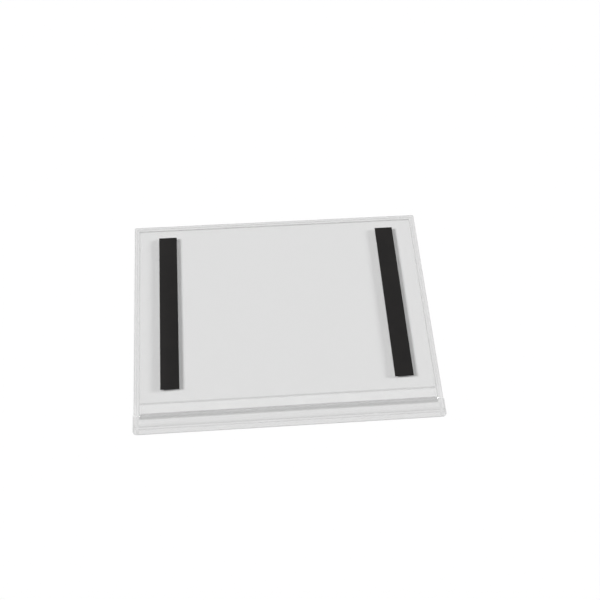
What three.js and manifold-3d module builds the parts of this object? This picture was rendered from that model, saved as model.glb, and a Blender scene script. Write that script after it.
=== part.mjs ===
// A clear document pocket with two magnetic strips, lying with its back film up.
// Three PVC films are sealed together round the rim. The back film carries the strips, the front
// film stops short of the near edge to leave the mouth, and a flap sealed along the near edge is
// tucked through the mouth. Millimetres, +Z up. The origin is on the table below the middle.
import * as THREE from "three";
import { mergeVertices } from "three/addons/utils/BufferGeometryUtils.js";
import Module from "manifold-3d";

const wasm = await Module();
wasm.setup();

// Outline of the sealed films
const pocketWidth = 333;
const pocketDepth = 265;
const filmThickness = 0.3;
const nearCornerRadius = 4.5;
const farCornerRadius = 1.2;

// Seal: a pressed band that runs inside the trimmed rim
const sideSealInset = 2.6;
const nearSealInset = 5.7;
const sealWidth = 3;
const sealPress = 0.08;
const sealWall = 0.25;

// Back film: the height it stands proud of the seal, and how far it takes to rise
const pillowHeight = 1.2;
const sideRise = 2.4;
const farRise = 2.4;
const rampSetback = 15.7;
const rampLength = 8;
const rampRounding = 1;

// Mouth of the front film and the flap that closes it
const mouthSetback = 22.8;
const mouthClearance = 1;
const flapReach = 34;
const flapOverhang = 1.1;
const flapBendLength = 5;
const flapSideBend = 2;
const tongueSideClearance = 2;
const tongueCornerRadius = 4;

// The back film is lifted over the flap, drops past the flap's end and levels out again
const liftHeight = 0.25;
const dropRun = 1.8;
const dipDepth = 0.15;
const dipRun = 7;

// Magnetic strips and their adhesive tape
const stripWidth = 20.5;
const stripLength = 197;
const stripThickness = 1.5;
const stripEdgeRadius = 0.25;
const stripInset = 28.6;
const stripSetback = 50;
const tapeThickness = 0.2;
const tapeMargin = 0.5;

// Steps that curved stretches are divided into
const riseSteps = 6;
const rampSteps = 4;
const cornerSegments = 6;

// Places worked out from the sizes above. "In" is a distance from an edge towards the middle.
const halfWidth = pocketWidth / 2;
const sideSealEnd = sideSealInset + sealWidth;
const nearSealEnd = nearSealInset + sealWidth;
const sealPlane = filmThickness;
const plateau = 2 * filmThickness + pillowHeight;
const shoulder = mouthSetback - mouthClearance;
const tongueInset = sideSealEnd + tongueSideClearance;

const clearPvc = { color: 0xdfe2e4, roughness: 0.16, metalness: 0, transparent: true, opacity: 0.35 };
const backFilmMaterial = new THREE.MeshStandardMaterial(clearPvc);
const frontFilmMaterial = new THREE.MeshStandardMaterial(clearPvc);
const flapMaterial = new THREE.MeshStandardMaterial(clearPvc);
const magnetMaterial = new THREE.MeshStandardMaterial({ color: 0x262322, roughness: 0.72, metalness: 0 });
const tapeMaterial = new THREE.MeshStandardMaterial({ color: 0xd9d8d2, roughness: 0.5, metalness: 0 });

const ease = (t) => THREE.MathUtils.smoothstep(t, 0, 1);
const arcRise = (t) => Math.sin(THREE.MathUtils.clamp(t, 0, 1) * Math.PI / 2);
const fromSide = (x) => halfWidth - Math.abs(x);
const fromNear = (y) => y + pocketDepth / 2;
const fromFar = (y) => pocketDepth / 2 - y;

// From 0 to 1 along a straight ramp whose two ends are rounded over the given share of it
function roundedRamp(t, share) {
  const middle = (t - share / 2) / (1 - share);
  const end = (u) => Math.max(u, 0) ** 2 / (2 * share * (1 - share));
  if (t < share) return end(t);
  return t > 1 - share ? 1 - end(1 - t) : middle;
}

// 1 in the middle of a seal band, 0 outside it, with short sloping walls
function band(distance, inset) {
  const wallIn = (distance - inset) / sealWall;
  const wallOut = (inset + sealWidth - distance) / sealWall;
  return THREE.MathUtils.clamp(Math.min(wallIn, wallOut), 0, 1);
}

// Side and far bands stop where they meet, so the pressed line turns the corner
function perimeterSeal(x, y) {
  const rim = Math.min(fromSide(x), fromFar(y));
  return Math.max(band(rim, sideSealInset), band(fromNear(y), nearSealInset));
}

// How far the back film stands above its sealed rim
function backRise(x, y) {
  const side = arcRise((fromSide(x) - sideSealEnd) / sideRise);
  const far = arcRise((fromFar(y) - sideSealEnd) / farRise);
  const ramp = roundedRamp((fromNear(y) - rampSetback) / rampLength, rampRounding / rampLength);
  const drop = ease((fromNear(y) - flapReach) / dropRun + 1);
  const levelled = ease((fromNear(y) - flapReach) / dipRun);
  const overFlap = liftHeight * (1 - drop) - dipDepth * drop * (1 - levelled);
  return side * far * ramp * (pillowHeight + overFlap);
}

// The flap lies on the table, then lifts by one film to pass over the front film's mouth
function flapRise(x, y) {
  const alongBend = (fromNear(y) - shoulder + flapBendLength) / flapBendLength;
  const acrossBend = (fromSide(x) - sideSealEnd) / flapSideBend;
  return filmThickness * ease(alongBend) * ease(acrossBend);
}

const steps = (from, length, count) =>
  Array.from({ length: count + 1 }, (unused, i) => from + length * i / count);
const sealLines = (inset) => [inset, inset + sealWall, inset + sealWidth - sealWall, inset + sealWidth];
const ascending = (values) => [...new Set(values.map((v) => Math.round(v * 1000) / 1000))].sort((a, b) => a - b);

// Lines of the lattice that all three films share, so that faces that touch match
const sideLines = [
  ...sealLines(sideSealInset),
  ...steps(sideSealEnd, flapSideBend, 2),
  ...steps(sideSealEnd, sideRise, riseSteps),
];
const xLines = ascending([0, ...sideLines.map((d) => halfWidth - d), ...sideLines.map((d) => d - halfWidth)]);
const nearLines = [
  ...sealLines(nearSealInset),
  ...steps(rampSetback, rampRounding, 2),
  ...steps(rampSetback + rampRounding, rampLength - 2 * rampRounding, rampSteps),
  ...steps(rampSetback + rampLength - rampRounding, rampRounding, 2),
  ...steps(flapReach - dropRun, dropRun, 3),
  ...steps(flapReach, dipRun, 5),
];
const bendLines = steps(shoulder - flapBendLength, flapBendLength, 4);
const farLines = [...sealLines(sideSealInset), ...steps(sideSealEnd, farRise, riseSteps)];

// A film as a lattice of cells between a lower and an upper surface
function film(xs, ys, lower, upper) {
  const box = new THREE.BoxGeometry(1, 1, 1, xs.length - 1, ys.length - 1, 1);
  const corner = box.getAttribute("position");
  for (let i = 0; i < corner.count; i += 1) {
    const x = xs[Math.round((corner.getX(i) + 0.5) * (xs.length - 1))];
    const y = ys[Math.round((corner.getY(i) + 0.5) * (ys.length - 1))];
    const surface = corner.getZ(i) > 0 ? upper : lower;
    corner.setXYZ(i, x, y, surface(x, y));
  }
  return box;
}

function toManifold(geometry) {
  const bare = geometry.clone();
  bare.deleteAttribute("normal");
  bare.deleteAttribute("uv");
  const merged = mergeVertices(bare);
  return new wasm.Manifold(new wasm.Mesh({
    numProp: 3,
    vertProperties: new Float32Array(merged.getAttribute("position").array),
    triVerts: new Uint32Array(merged.getIndex().array),
  }));
}

function toGeometry(solid) {
  const mesh = solid.getMesh();
  const geometry = new THREE.BufferGeometry();
  geometry.setAttribute("position", new THREE.BufferAttribute(new Float32Array(mesh.vertProperties), 3));
  geometry.setIndex(new THREE.BufferAttribute(new Uint32Array(mesh.triVerts), 1));
  return geometry;
}

// Trims a film with a cutting die of the given outline
function dieCut(geometry, outline) {
  const dieHeight = 4 * plateau;
  const die = new THREE.ExtrudeGeometry(outline, {
    depth: dieHeight,
    bevelEnabled: false,
    curveSegments: cornerSegments,
  });
  die.translate(0, 0, -dieHeight / 2);
  return toGeometry(toManifold(geometry).intersect(toManifold(die)));
}

// A rectangle whose lower and upper corners have radii of their own
function roundedPanel(left, right, bottom, top, lowerRadius, upperRadius) {
  const outline = new THREE.Shape();
  outline.moveTo(left + lowerRadius, bottom);
  outline.absarc(right - lowerRadius, bottom + lowerRadius, lowerRadius, -Math.PI / 2, 0);
  outline.absarc(right - upperRadius, top - upperRadius, upperRadius, 0, Math.PI / 2);
  outline.absarc(left + upperRadius, top - upperRadius, upperRadius, Math.PI / 2, Math.PI);
  outline.absarc(left + lowerRadius, bottom + lowerRadius, lowerRadius, Math.PI, 1.5 * Math.PI);
  return outline;
}

const nearEdge = -pocketDepth / 2;
const farEdge = pocketDepth / 2;
const pocketOutline = roundedPanel(-halfWidth, halfWidth, nearEdge, farEdge, nearCornerRadius, farCornerRadius);

// Back film: full outline, pillowed inside the seal, with the seal pressed into its upper face
function makeBackFilm() {
  const xs = ascending([-halfWidth, ...xLines, halfWidth]);
  const nearStretch = [...nearLines, ...bendLines].map((d) => nearEdge + d);
  const farStretch = farLines.map((d) => farEdge - d);
  const ys = ascending([nearEdge, ...nearStretch, ...farStretch, farEdge]);
  const lower = (x, y) => sealPlane + backRise(x, y);
  const upper = (x, y) => lower(x, y) + filmThickness - sealPress * perimeterSeal(x, y);
  return dieCut(film(xs, ys, lower, upper), pocketOutline);
}

// Front film: flat, from the far edge to the mouth, pressed from below along the same seal
function makeFrontFilm() {
  const mouth = nearEdge + mouthSetback;
  const xs = ascending([-halfWidth, ...xLines, halfWidth]);
  const ys = ascending([mouth, ...farLines.map((d) => farEdge - d), farEdge]);
  const lower = (x, y) => sealPress * perimeterSeal(x, y);
  const upper = () => sealPlane;
  return dieCut(film(xs, ys, lower, upper), pocketOutline);
}

// Flap: sealed along the near edge, a little wider than the pocket as far as its shoulders, and
// then a tongue that passes between the side seals into the mouth
function makeFlap() {
  const outer = halfWidth + flapOverhang;
  const inner = halfWidth - tongueInset;
  const tip = nearEdge + flapReach;
  const neck = nearEdge + shoulder;
  const xs = ascending([-outer, ...xLines, outer]);
  const ys = ascending([...[0, ...nearLines, ...bendLines].filter((d) => d < flapReach).map((d) => nearEdge + d), tip]);
  const lower = (x, y) => flapRise(x, y) + sealPress * perimeterSeal(x, y);
  const upper = (x, y) => sealPlane + flapRise(x, y);
  const outline = new THREE.Shape();
  outline.moveTo(nearCornerRadius - outer, nearEdge);
  outline.absarc(outer - nearCornerRadius, nearEdge + nearCornerRadius, nearCornerRadius, -Math.PI / 2, 0);
  outline.lineTo(outer, neck);
  outline.lineTo(inner, neck);
  outline.absarc(inner - tongueCornerRadius, tip - tongueCornerRadius, tongueCornerRadius, 0, Math.PI / 2);
  outline.absarc(tongueCornerRadius - inner, tip - tongueCornerRadius, tongueCornerRadius, Math.PI / 2, Math.PI);
  outline.lineTo(-inner, neck);
  outline.lineTo(-outer, neck);
  outline.absarc(nearCornerRadius - outer, nearEdge + nearCornerRadius, nearCornerRadius, Math.PI, 1.5 * Math.PI);
  return dieCut(film(xs, ys, lower, upper), outline);
}

// Magnetic strip: an extruded section with eased edges, cut square at both ends
function makeStrip() {
  const section = roundedPanel(-stripWidth / 2, stripWidth / 2, 0, stripThickness, stripEdgeRadius, stripEdgeRadius);
  const strip = new THREE.ExtrudeGeometry(section, { depth: stripLength, bevelEnabled: false, curveSegments: 3 });
  strip.rotateX(Math.PI / 2);
  strip.translate(0, stripLength / 2, 0);
  return strip;
}

// Adhesive tape: set in a little from the strip's edges all round
function makeTape() {
  const tape = new THREE.BoxGeometry(stripWidth - 2 * tapeMargin, stripLength - 2 * tapeMargin, tapeThickness);
  tape.translate(0, 0, tapeThickness / 2);
  return tape;
}

const group = new THREE.Group();

function add(name, geometry, material, place = [0, 0, 0]) {
  const mesh = new THREE.Mesh(geometry, material);
  mesh.name = name;
  mesh.position.set(...place);
  group.add(mesh);
}

add("back_film", makeBackFilm(), backFilmMaterial);
add("front_film", makeFrontFilm(), frontFilmMaterial);
add("closing_flap", makeFlap(), flapMaterial);

const stripMiddle = nearEdge + stripSetback + stripLength / 2;
const stripOffset = halfWidth - stripInset - stripWidth / 2;
for (const [side, middle] of [["left", -stripOffset], ["right", stripOffset]]) {
  add(`${side}_adhesive_tape`, makeTape(), tapeMaterial, [middle, stripMiddle, plateau]);
  add(`${side}_magnetic_strip`, makeStrip(), magnetMaterial, [middle, stripMiddle, plateau + tapeThickness]);
}

export default group;
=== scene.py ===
import math

import bpy
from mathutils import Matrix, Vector, noise


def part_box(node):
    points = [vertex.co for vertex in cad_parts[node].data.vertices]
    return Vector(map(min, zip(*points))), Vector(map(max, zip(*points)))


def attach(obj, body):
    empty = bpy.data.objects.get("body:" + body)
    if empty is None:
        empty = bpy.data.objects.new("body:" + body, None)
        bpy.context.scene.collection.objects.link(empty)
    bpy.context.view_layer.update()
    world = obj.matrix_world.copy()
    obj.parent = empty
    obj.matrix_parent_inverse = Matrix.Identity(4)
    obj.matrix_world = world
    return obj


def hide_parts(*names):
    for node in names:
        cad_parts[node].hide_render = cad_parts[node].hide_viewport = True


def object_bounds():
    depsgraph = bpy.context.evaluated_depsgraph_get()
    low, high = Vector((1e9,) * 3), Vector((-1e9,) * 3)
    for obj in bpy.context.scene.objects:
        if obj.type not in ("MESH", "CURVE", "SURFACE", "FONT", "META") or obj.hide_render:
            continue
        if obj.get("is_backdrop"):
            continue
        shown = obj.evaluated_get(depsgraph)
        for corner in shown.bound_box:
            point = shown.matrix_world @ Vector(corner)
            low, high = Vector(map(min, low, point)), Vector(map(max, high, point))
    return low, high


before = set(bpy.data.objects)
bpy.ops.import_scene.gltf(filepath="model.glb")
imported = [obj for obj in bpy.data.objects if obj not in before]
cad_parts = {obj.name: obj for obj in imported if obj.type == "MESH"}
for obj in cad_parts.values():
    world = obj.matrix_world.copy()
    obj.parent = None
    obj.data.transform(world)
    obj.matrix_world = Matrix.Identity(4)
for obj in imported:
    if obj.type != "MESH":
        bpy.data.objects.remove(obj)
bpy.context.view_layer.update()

# Camera: high over the near edge of the pocket and a little left of its middle, with a normal to
# long lens, so that the back film and its two strips fill the middle of the frame.
mm = 0.001
camera_place = Vector((-49.7, -566.0, 988.5)) * mm
camera_aim = Vector((21.2, 22.2, 0)) * mm
camera_roll = math.radians(2.87)
camera_lens = 60.57
camera_sensor = 36

camera_data = bpy.data.cameras.new("camera")
camera_data.lens = camera_lens
camera_data.sensor_width = camera_sensor
camera = bpy.data.objects.new("camera", camera_data)
bpy.context.scene.collection.objects.link(camera)
camera.location = camera_place
camera.rotation_euler = (camera_aim - camera_place).to_track_quat("-Z", "Y").to_euler()
camera.rotation_euler.rotate_axis("Z", camera_roll)
bpy.context.scene.camera = camera
bpy.context.scene.view_settings.view_transform = "Standard"

# Table: a flat board painted matt white, large enough to fill the view from any side. Where it is
# looked at, a faint glow brings its paint up to the white of the room.
table_size = 8.0
table_gap = 0.05
table_shade = 0.9
glow_strength = 0.12


class Wire:
    """One output socket of a node tree. Operators on it add Math nodes to that tree."""

    def __init__(self, tree, socket):
        self.tree = tree
        self.socket = socket

    def node(self, kind, settings=None, inputs=None, output=0):
        """The output of a new node. A colour is given as its red, green and blue."""
        made = self.tree.nodes.new(kind)
        for name, value in (settings or {}).items():
            setattr(made, name, value)
        for name, value in (inputs or {}).items():
            socket = made.inputs[name]
            if isinstance(value, Wire):
                self.tree.links.new(value.socket, socket)
            elif socket.type == "RGBA":
                socket.default_value = (*value, 1)
            else:
                socket.default_value = value
        return Wire(self.tree, made.outputs[output])

    def maths(self, operation, first, second=0.0):
        return self.node("ShaderNodeMath", {"operation": operation}, {0: first, 1: second})

    def __add__(self, other):
        return self.maths("ADD", self, other)

    def __radd__(self, other):
        return self.maths("ADD", other, self)

    def __sub__(self, other):
        return self.maths("SUBTRACT", self, other)

    def __rsub__(self, other):
        return self.maths("SUBTRACT", other, self)

    def __mul__(self, other):
        return self.maths("MULTIPLY", self, other)

    def __rmul__(self, other):
        return self.maths("MULTIPLY", other, self)

    def __abs__(self):
        return self.maths("ABSOLUTE", self)

    def lesser(self, other):
        return self.maths("MINIMUM", self, other)

    def greater(self, other):
        return self.maths("MAXIMUM", self, other)

    def step(self, start, end):
        """0 up to start and 1 from end, eased in between."""
        return self.node(
            "ShaderNodeMapRange", {"interpolation_type": "SMOOTHSTEP"},
            {"Value": self, "From Min": start, "From Max": end},
        )

    def blend(self, low, high):
        """The colour low where this is 0, and high where it is 1."""
        colour = {"data_type": "RGBA"}
        return self.node("ShaderNodeMix", colour, {0: self, 6: low, 7: high}, output=2)

    def mottled(self, scale, detail):
        """Noise over the places that this wire carries."""
        pattern = {"Vector": self, "Scale": scale, "Detail": detail}
        return self.node("ShaderNodeTexNoise", inputs=pattern)

    def parts(self):
        """The x, y and z of the vector that this wire carries."""
        return [self.node("ShaderNodeSeparateXYZ", inputs={0: self}, output=i) for i in range(3)]


def ray_is(wire, *kinds):
    """1 for a ray of one of these kinds, and 0 for any other."""
    found = [wire.node("ShaderNodeLightPath", output=kind) for kind in kinds]
    any_kind = found[0]
    for other in found[1:]:
        any_kind = any_kind.greater(other)
    return any_kind


def new_material(name):
    """An empty material and a first wire in its tree: the place on the object, in metres."""
    material = bpy.data.materials.new(name)
    material.use_nodes = True
    material.node_tree.nodes.clear()
    start = Wire(material.node_tree, None)
    return material, start.node("ShaderNodeTexCoord", output="Object")


def end_tree(shader, kind="ShaderNodeOutputMaterial"):
    """Joins a shader to a new output node of its tree."""
    end = shader.tree.nodes.new(kind)
    shader.tree.links.new(shader.socket, end.inputs["Surface"])


def grey(shade):
    return (shade, shade, shade)


bpy.ops.mesh.primitive_plane_add(size=table_size, location=(0, 0, -table_gap * mm))
table = bpy.context.object
table.name = "table"
table_material, table_place = new_material("white table")
paint = table_place.node("ShaderNodeBsdfDiffuse", inputs={"Color": grey(table_shade)})
glow = table_place.node("ShaderNodeEmission", inputs={"Color": grey(1), "Strength": glow_strength})
glowing = paint.node("ShaderNodeAddShader", inputs={0: paint, 1: glow})
seen = ray_is(table_place, "Is Camera Ray", "Is Glossy Ray", "Is Transmission Ray")
end_tree(seen.node("ShaderNodeMixShader", inputs={0: seen, 1: paint, 2: glowing}))
table.data.materials.append(table_material)
table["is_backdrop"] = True

# Light: a white room that is dim as a source of light, a strong soft light low on the left that
# throws the strips' shadows, a weaker one lower on the right, and a faint one beyond the far edge.
room_shade = 0.07

world = bpy.data.worlds.new("studio")
bpy.context.scene.world = world
world.use_nodes = True
world.node_tree.nodes.clear()
room = Wire(world.node_tree, None)
open_white = room.node("ShaderNodeBackground", inputs={"Color": grey(1), "Strength": 1.0})
dim_white = room.node("ShaderNodeBackground", inputs={"Color": grey(1), "Strength": room_shade})
looked_at = ray_is(room, "Is Camera Ray", "Is Glossy Ray", "Is Transmission Ray")
backdrop = room.node("ShaderNodeMixShader", inputs={0: looked_at, 1: dim_white, 2: open_white})
end_tree(backdrop, "ShaderNodeOutputWorld")


def soft_light(name, towards, spread_degrees, strength):
    """A distant round lamp that stands in the direction towards, as wide as spread_degrees."""
    lamp = bpy.data.lights.new(name, "SUN")
    lamp.angle = math.radians(spread_degrees)
    lamp.energy = strength
    holder = bpy.data.objects.new(name, lamp)
    bpy.context.scene.collection.objects.link(holder)
    holder.rotation_euler = Vector(towards).to_track_quat("Z", "Y").to_euler()


soft_light("far_light", towards=(0.05, 0.57, 1.0), spread_degrees=28, strength=0.04)
soft_light("left_light", towards=(-1.0, 0.08, 0.72), spread_degrees=18, strength=3.55)
soft_light("right_light", towards=(1.0, 0.1, 0.32), spread_degrees=14, strength=2.5)

# Back film: clear PVC sheet, drawn over a form so that its middle stands proud of the rim, then
# welded to the other films along a finely ribbed line and trimmed. It carries the strips.
film_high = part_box("back_film")[1]
half_width = film_high.x / mm
half_depth = film_high.y / mm
smooth_angle = math.radians(40)

# Films lie one gauge apart where they are welded. Each is drawn a little thinner, so that no two
# surfaces meet. At the rim, the back film's middle layer lies above the whole front film.
film_gauge = 0.3
film_skin = 0.26
rim_height = film_gauge * 1.5

# The seal, as distances in from the sides, the far edge and the near edge.
side_seal = 2.6
near_seal = 5.7
seal_width = 3.0
seal_wall = 0.35
seal_depth = 0.07
seal_end = side_seal + seal_width

# The raised middle, the ramp up to it from the near edge, and the low step past the flap's end.
pillow_height = 1.2
side_rise = 1.2
far_rise = 2.4
ramp_start = 15.7
ramp_length = 8.0
ramp_rounding = 1.0
ramp_steepening = 0.6
flap_reach = 34.0
lift_height = 0.22
drop_lead = 1.8
drop_start = flap_reach - drop_lead
drop_run = 5.4
dip_depth = 0.28
dip_run = 14.0

# The slight wave of the open film between the strips, which fades out towards the rim.
wave_height = 0.06
wave_size = 70
wave_half_width = 110
wave_near_inset = 45
wave_far_inset = 25
wave_side_fade = 40
wave_end_fade = 30

# The rounded corners, each with the distance from the edge of the first line that is cut in it.
near_corner = 4.5
near_corner_edge = 0.6
far_corner = 1.2
far_corner_edge = 0.3

# The evenly spaced lines that are cut in the open film, so that it can wave, and the least
# distance of any cut from the edge.
grid_half_width = 144
grid_near = -86
grid_depth = 200
closest_cut = 0.05


def eased(t):
    """From 0 to 1 while t does, with a soft start and a soft end."""
    t = min(max(t, 0.0), 1.0)
    return t * t * (3 - 2 * t)


def arched(t):
    """From 0 to 1 while t does, with a steep start and a soft end."""
    return math.sin(min(max(t, 0.0), 1.0) * math.pi / 2)


def rounded_ramp(t, share):
    """From 0 to 1 along a straight ramp, rounded over the given share at both ends."""
    if t < share:
        return max(t, 0.0) ** 2 / (2 * share * (1 - share))
    if t > 1 - share:
        return 1 - max(1 - t, 0.0) ** 2 / (2 * share * (1 - share))
    return (t - share / 2) / (1 - share)


def band(distance, inset):
    """1 across a seal band and 0 outside it, with short eased walls."""
    inner = (distance - inset) / seal_wall
    outer = (inset + seal_width - distance) / seal_wall
    return eased(min(inner, outer))


def pressed(x, y):
    """Depth of the seal at a place."""
    rim = min(half_width - abs(x), half_depth - y)
    return seal_depth * max(band(rim, side_seal), band(half_depth + y, near_seal))


def wave(x, y):
    """Height of the open film's slight wave at a place."""
    side = eased((wave_half_width - abs(x)) / wave_side_fade)
    near = eased((half_depth + y - wave_near_inset) / wave_end_fade)
    far = eased((half_depth - y - wave_far_inset) / wave_end_fade)
    return wave_height * side * near * far * noise.noise(Vector((x, y, 0)) / wave_size)


def back_height(x, y):
    """Height of the back film's middle layer over the table."""
    near = half_depth + y
    side = arched((half_width - abs(x) - seal_end) / side_rise)
    far = arched((half_depth - y - seal_end) / far_rise)
    ramp = rounded_ramp((near - ramp_start) / ramp_length, ramp_rounding / ramp_length)
    ramp += ramp_steepening * ramp * (ramp - 1)
    drop = eased((near - drop_start) / drop_run)
    levelled = eased((near - drop_start) / dip_run)
    over_flap = lift_height * (1 - drop) - dip_depth * drop * (1 - levelled)
    raised = ramp * (pillow_height + over_flap) + wave(x, y)
    return rim_height + side * far * raised - pressed(x, y)


def spread(start, length, count):
    """Places from start over length, in count equal steps."""
    return [start + length * i / count for i in range(count + 1)]


def edges_of_seal(inset):
    """Places of the lines along both walls of a seal band."""
    return spread(inset, seal_wall, 2) + spread(inset + seal_width - seal_wall, seal_wall, 2)


def both_sides(insets):
    """Places across the pocket for distances in from its two sides."""
    return [half_width - inset for inset in insets] + [inset - half_width for inset in insets]


def from_near(insets):
    """Places along the pocket for distances in from its near edge."""
    return [inset - half_depth for inset in insets]


def from_far(insets):
    """Places along the pocket for distances in from its far edge."""
    return [half_depth - inset for inset in insets]


def film_blank(name, left, right, bottom, top, across, along):
    """A flat sheet in millimetres, cut across and along at the lines given."""
    bpy.ops.object.select_all(action="DESELECT")
    bpy.ops.mesh.primitive_plane_add(size=1, location=(0, 0, 0))
    blank = bpy.context.object
    blank.name = name
    bpy.ops.object.mode_set(mode="EDIT")
    bpy.ops.transform.resize(value=(right - left, top - bottom, 1))
    bpy.ops.transform.translate(value=((left + right) / 2, (bottom + top) / 2, 0))
    cuts = (((1, 0, 0), across, left, right), ((0, 1, 0), along, bottom, top))
    for normal, lines, low, high in cuts:
        for line in sorted(set(round(value, 3) for value in lines)):
            if low + closest_cut < line < high - closest_cut:
                bpy.ops.mesh.select_all(action="SELECT")
                place = [line * part for part in normal]
                bpy.ops.mesh.bisect(plane_co=place, plane_no=normal)
    bpy.ops.object.mode_set(mode="OBJECT")
    return blank


def round_corner(point, corner):
    """Draws the square corner that lies beyond corner's centre in to a quarter circle."""
    centre_x, centre_y, way_x, way_y = corner
    out = Vector(((point.x - centre_x) * way_x, (point.y - centre_y) * way_y))
    if out.x > 0 and out.y > 0:
        scale = max(out.x, out.y) / out.length
        point.x = centre_x + out.x * scale * way_x
        point.y = centre_y + out.y * scale * way_y


def finish_film(film, height, corners):
    """Shapes the blank, rounds its corners, thickens it and brings it to metres."""
    for vertex in film.data.vertices:
        vertex.co.z = height(vertex.co.x, vertex.co.y)
        for corner in corners:
            round_corner(vertex.co, corner)
    thick = film.modifiers.new("gauge", "SOLIDIFY")
    thick.thickness = film_skin
    thick.offset = 0
    bpy.context.view_layer.objects.active = film
    film.select_set(True)
    bpy.ops.object.modifier_apply(modifier=thick.name)
    bpy.ops.object.mode_set(mode="EDIT")
    bpy.ops.mesh.select_all(action="SELECT")
    bpy.ops.mesh.normals_make_consistent(inside=False)
    bpy.ops.transform.resize(value=(mm, mm, mm), center_override=(0, 0, 0))
    bpy.ops.object.mode_set(mode="OBJECT")
    bpy.ops.object.shade_smooth_by_angle(angle=smooth_angle)


def within(distance, fade_in, fade_out):
    """1 between two fades and 0 beyond them. A fade is a start and an end in millimetres."""
    risen = distance.step(fade_in[0] * mm, fade_in[1] * mm)
    fallen = distance.step(fade_out[0] * mm, fade_out[1] * mm)
    return risen * (1 - fallen)


def seal_mask(distance, inset):
    """1 across the seal band in a material, and 0 outside it."""
    end = inset + seal_width
    return within(distance, (inset, inset + seal_wall), (end - seal_wall, end))


# The film's finish. The refractive index is a little below that of PVC, which keeps the white
# room's reflection from veiling it. Painted shade darkens the tint where the film leans, counting
# from the faint to the full lean, as squared sines of the surface's slope. A dark outline is
# painted
# at a cut edge: a surface that faces sideways, or the trim at the outline. Where the flap is
# tucked, a clearer tint paints a lighter band.
film_clearness = 0.885
film_milkiness = 0.006
film_ior = 1.45
film_roughness = 0.04
seal_roughness = 0.12
lamp_power = 0.3
bend_shade_share = 0.74
side_shade_share = 0.3
faint_lean, full_lean = 0.001, 0.02
edge_shade_tint = (0.5, 0.505, 0.51)
edge_upright = (0.3, 0.7)
trim_fade = (0.1, 1.0)
outline_shade_share = 0.25
tuck_start = (20.5, 24)
tuck_end = (32.5, 37)
haze_shade = 0.9
seal_haze = 0.02
edge_haze = 0.25
cloud_least, cloud_range = 0.85, 0.3
roll_share, rib_share = 0.5, 0.35
film_relief = 0.05


def film_material(name, clearness, milkiness, tucked_painted_clearness, tucked_milkiness):
    """Clear film with painted shade where it leans, a painted dark outline at its hazy cut edges,
    and fine ribs in the seal. Where the flap is tucked in, it has a milkiness of its own and a
    clearness of its own, which paints a lighter band."""
    material, place = new_material(name)
    x, y = place.parts()[:2]
    side = (half_width * mm - abs(x)).lesser(half_depth * mm - y)
    near = y + half_depth * mm
    seal = seal_mask(side, side_seal).greater(seal_mask(near, near_seal))
    # Where the flap is tucked, a clearer tint paints a lighter band, and the film may be milkier.
    tucked = within(near, tuck_start, tuck_end)

    # Painted shade: where the film leans, its tint is darkened by the bend shade share.
    normal = place.node("ShaderNodeTexCoord", output="Normal")
    lean_across, lean_along, upright = normal.parts()
    side_shade_mask = (lean_across * lean_across).step(faint_lean, full_lean) * side_shade_share
    bend_shade_mask = (lean_along * lean_along).step(faint_lean, full_lean).greater(side_shade_mask)
    # Painted shade: a dark outline on the cut edges and on the trim just inside the outline.
    trimmed = 1 - side.lesser(near).step(trim_fade[0] * mm, trim_fade[1] * mm)
    cut = (1 - abs(upright).step(*edge_upright)).greater(trimmed * outline_shade_share)

    flat_tint = tucked.blend(grey(clearness), grey(tucked_painted_clearness))
    bend_shade_tint = tucked.blend(grey(clearness * bend_shade_share), grey(tucked_painted_clearness * bend_shade_share))
    tint = cut.blend(bend_shade_mask.blend(flat_tint, bend_shade_tint), edge_shade_tint)

    rolls = place.mottled(scale=38.0, detail=2.0)
    ribs = place.node(
        "ShaderNodeTexWave", {"bands_direction": "DIAGONAL"}, {"Vector": place, "Scale": 420.0})
    bump = place.node("ShaderNodeBump", inputs={
        "Strength": 0.25,
        "Distance": film_relief * mm,
        "Height": rolls * roll_share + ribs * seal * rib_share,
    })
    glass = place.node("ShaderNodeBsdfPrincipled", inputs={
        "Base Color": tint,
        "Roughness": film_roughness + seal * seal_roughness,
        "IOR": film_ior,
        "Transmission Weight": 1.0,
        "Normal": bump,
    })

    haze = place.node("ShaderNodeBsdfDiffuse", inputs={"Color": grey(haze_shade)})
    cloud = place.mottled(scale=9.0, detail=3.0)
    milky = milkiness + tucked * (tucked_milkiness - milkiness)
    milky = milky * (cloud_least + cloud.step(0.35, 0.75) * cloud_range)
    amount = milky + seal * seal_haze + cut * edge_haze
    body = place.node("ShaderNodeMixShader", inputs={0: amount, 1: glass, 2: haze})

    lamp_tint = grey(clearness ** lamp_power)
    lamps = place.node("ShaderNodeBsdfTransparent", inputs={"Color": lamp_tint})
    straight = ray_is(place, "Is Shadow Ray", "Is Diffuse Ray")
    end_tree(place.node("ShaderNodeMixShader", inputs={0: straight, 1: body, 2: lamps}))
    return material


near_corner_lines = spread(near_corner_edge, near_corner - near_corner_edge, 4)
far_corner_lines = spread(far_corner_edge, far_corner - far_corner_edge, 3)
grid_across = spread(-grid_half_width, 2 * grid_half_width, 48)

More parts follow.
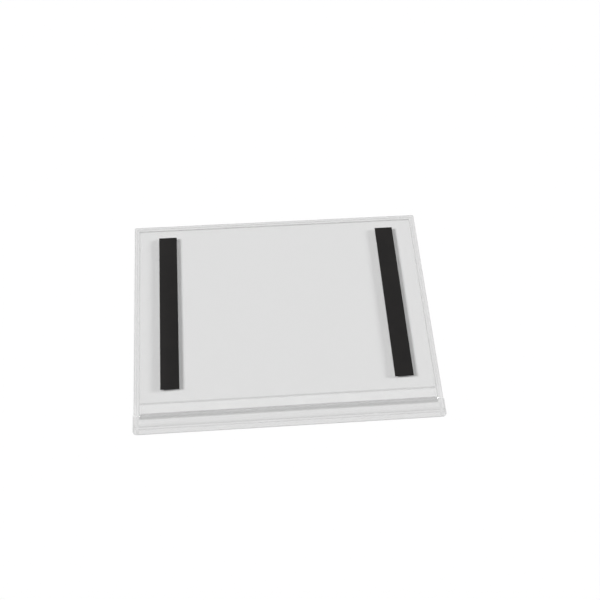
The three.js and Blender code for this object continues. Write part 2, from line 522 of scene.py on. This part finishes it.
side_lines = edges_of_seal(side_seal) + near_corner_lines + spread(seal_end, side_rise, 12)
far_lines = edges_of_seal(side_seal) + far_corner_lines + spread(seal_end, far_rise, 12)
near_lines = edges_of_seal(near_seal) + near_corner_lines
near_lines += spread(ramp_start, ramp_rounding, 4)
near_lines += spread(ramp_start + ramp_rounding, ramp_length - 2 * ramp_rounding, 10)
near_lines += spread(ramp_start + ramp_length - ramp_rounding, ramp_rounding, 4)
near_lines += spread(drop_start, drop_run, 10)
near_lines += spread(drop_start + drop_run, dip_run - drop_run, 6)
back_corners = [
    (half_width - near_corner, near_corner - half_depth, 1, -1),
    (near_corner - half_width, near_corner - half_depth, -1, -1),
    (half_width - far_corner, half_depth - far_corner, 1, 1),
    (far_corner - half_width, half_depth - far_corner, -1, 1),
]
back_film = film_blank(
    "back_film_skin", -half_width, half_width, -half_depth, half_depth,
    across=both_sides(side_lines) + grid_across,
    along=from_near(near_lines) + from_far(far_lines) + spread(grid_near, grid_depth, 40),
)
finish_film(back_film, back_height, back_corners)
# Over the tucked flap the back film is painted clearer, which paints a lighter band.
back_film.data.materials.append(film_material(
    "clear pvc back film", clearness=film_clearness, milkiness=film_milkiness,
    tucked_painted_clearness=0.935, tucked_milkiness=film_milkiness,
))
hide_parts("back_film")
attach(back_film, "root")

# Front film: flat clear PVC sheet under the back film, welded to it along the far edge and both
# sides. It stops short of the near edge, which leaves the mouth of the pocket.
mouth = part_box("front_film")[0].y / mm
front_press_share = 0.5


def front_height(x, y):
    return film_gauge / 2 + pressed(x, y) * front_press_share


rim_lines = edges_of_seal(side_seal) + far_corner_lines
front_film = film_blank(
    "front_film_skin", -half_width, half_width, mouth, half_depth,
    across=both_sides(rim_lines),
    along=from_far(rim_lines),
)
finish_film(front_film, front_height, back_corners[2:])
front_film.data.materials.append(film_material(
    "clear pvc front film", clearness=film_clearness, milkiness=film_milkiness,
    tucked_painted_clearness=film_clearness, tucked_milkiness=film_milkiness,
))
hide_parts("front_film")
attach(front_film, "root")

# Closing flap: a strip of clear PVC, welded along the near edge and tucked through the mouth, where
# it is milky and is painted clearer, which paints a lighter band against the front film. Its
# shoulders are wider than the pocket, and its tongue is narrower.
flap_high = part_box("closing_flap")[1]
flap_half = flap_high.x / mm
flap_tip = flap_high.y / mm
flap_overhang = flap_half - half_width
shoulder = 21.8
flap_bend = 5.0
flap_side_bend = 2.0
tongue_clearance = 2.0
tongue_half = half_width - seal_end - tongue_clearance
tongue_corner = 4.0


def flap_height(x, y):
    along = (half_depth + y - shoulder + flap_bend) / flap_bend
    across = (half_width - abs(x) - seal_end) / flap_side_bend
    return film_gauge / 2 + film_gauge * eased(along) * eased(across)


flap_side_lines = edges_of_seal(side_seal) + spread(seal_end, flap_side_bend, 4)
flap_side_lines += spread(half_width - tongue_half, tongue_corner, 6)
flap_side_lines += [inset - flap_overhang for inset in near_corner_lines]
flap_lines = edges_of_seal(near_seal) + near_corner_lines
flap_lines += spread(shoulder - flap_bend, flap_bend, 8)
flap_lines += spread(flap_reach - tongue_corner, tongue_corner, 6)
flap = film_blank(
    "closing_flap_skin", -flap_half, flap_half, -half_depth, flap_tip,
    across=both_sides(flap_side_lines) + grid_across,
    along=from_near(flap_lines),
)
for face in flap.data.polygons:
    face.select = abs(face.center.x) > tongue_half and face.center.y > shoulder - half_depth
bpy.ops.object.mode_set(mode="EDIT")
bpy.ops.mesh.delete(type="FACE")
bpy.ops.object.mode_set(mode="OBJECT")
flap_corners = [
    (flap_half - near_corner, near_corner - half_depth, 1, -1),
    (near_corner - flap_half, near_corner - half_depth, -1, -1),
    (tongue_half - tongue_corner, flap_tip - tongue_corner, 1, 1),
    (tongue_corner - tongue_half, flap_tip - tongue_corner, -1, 1),
]
finish_film(flap, flap_height, flap_corners)
flap.data.materials.append(film_material(
    "clear pvc flap", clearness=0.88, milkiness=film_milkiness,
    tucked_painted_clearness=1.0, tucked_milkiness=0.4,
))
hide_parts("closing_flap")
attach(flap, "root")

# Adhesive tape: a thin pale self-adhesive layer under each strip, which holds it to the back film.
# It shows only as a fine line at the strip's edges.
tape_dark = (0.62, 0.61, 0.57)
tape_pale = (0.74, 0.73, 0.69)
tape_roughness = 0.45

tape_material, tape_place = new_material("adhesive tape")
mottle = tape_place.mottled(scale=260.0, detail=3.0)
end_tree(mottle.node("ShaderNodeBsdfPrincipled", inputs={
    "Base Color": mottle.step(0.3, 0.7).blend(tape_dark, tape_pale),
    "Roughness": tape_roughness,
}))
for side in ("left", "right"):
    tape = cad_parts[f"{side}_adhesive_tape"]
    tape.data.materials.clear()
    tape.data.materials.append(tape_material)

# Magnetic strips: extruded ferrite rubber, matt and a warm black, with eased edges and square
# cut ends. Each is stuck to the back film along its whole length.
strip_black = (0.006, 0.0055, 0.0055)
strip_worn = (0.0105, 0.0095, 0.0092)
worn_share = 0.6
strip_roughness, worn_roughness = 0.56, 0.12
strip_ior = 1.5
strip_gloss = 0.15
strip_relief = 0.06
strip_edge = 0.3
along_strip = (1.0, 0.12, 1.0)

strip_material, strip_place = new_material("ferrite rubber")
stretch = strip_place.node(
    "ShaderNodeMapping", inputs={"Vector": strip_place, "Scale": along_strip})
drawn = stretch.mottled(scale=900.0, detail=3.0)
wear = strip_place.mottled(scale=45.0, detail=4.0)
grain = strip_place.mottled(scale=2600.0, detail=2.0)
worn = wear.step(0.35, 0.7) * worn_share + drawn * (1 - worn_share)
strip_bump = strip_place.node("ShaderNodeBump", inputs={
    "Strength": 0.35,
    "Distance": strip_relief * mm,
    "Height": drawn * 0.5 + grain * 0.5,
})
end_tree(strip_place.node("ShaderNodeBsdfPrincipled", inputs={
    "Base Color": worn.blend(strip_black, strip_worn),
    "Roughness": strip_roughness + wear * worn_roughness,
    "IOR": strip_ior,
    "Specular IOR Level": strip_gloss,
    "Normal": strip_bump,
}))

for side in ("left", "right"):
    low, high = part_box(f"{side}_magnetic_strip")
    bpy.ops.object.select_all(action="DESELECT")
    bpy.ops.mesh.primitive_cube_add(size=1, location=(0, 0, 0))
    strip = bpy.context.object
    strip.name = f"{side}_strip"
    bpy.ops.object.mode_set(mode="EDIT")
    bpy.ops.transform.resize(value=high - low)
    bpy.ops.transform.translate(value=(low + high) / 2)
    bpy.ops.mesh.select_all(action="SELECT")
    bpy.ops.mesh.bevel(offset=strip_edge * mm, segments=3, affect="EDGES")
    bpy.ops.object.mode_set(mode="OBJECT")
    bpy.ops.object.shade_smooth_by_angle(angle=smooth_angle)
    strip.data.materials.append(strip_material)
    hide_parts(f"{side}_magnetic_strip")
    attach(strip, "root")

low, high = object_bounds()
